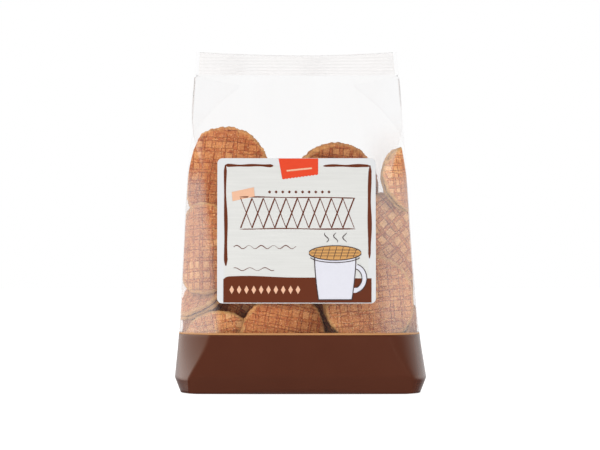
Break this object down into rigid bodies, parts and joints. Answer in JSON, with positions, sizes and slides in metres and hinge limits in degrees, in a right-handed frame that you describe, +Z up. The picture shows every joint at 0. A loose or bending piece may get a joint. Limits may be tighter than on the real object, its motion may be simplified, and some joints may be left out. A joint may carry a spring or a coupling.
{
  "type": "bag of stroopwafels",
  "caption": "Upright clear film bag with a flat folded bottom, side gussets and a crimped top seal, filled with small round syrup waffles, with a paper label on its front.",
  "frame": {"origin": "on the surface that the bag stands on, under the middle of its bounding box", "axes": "+Z up, the label faces -Y, +X to the right as seen from the front"},
  "size_m": [0.1379, 0.0646, 0.1874],
  "materials": {
    "film": "clear, shiny packing film with a milky look at its folds, crimped at the top",
    "band": "opaque dark brown print on the shiny film round the foot, with a thin golden tan line along its top",
    "waffle": "baked wafer: golden brown, darker red-brown in the lines of its square grid, paler at its ragged rim",
    "syrup": "dark caramel syrup between the two wafers, slightly shiny",
    "paper": "off-white label paper with fine lines and a satin surface",
    "print": "flat printing ink in brown, red, peach and white"
  },
  "bodies": {
    "root": {"bag": "film", "label": "paper"}
  },
  "joints": []
}
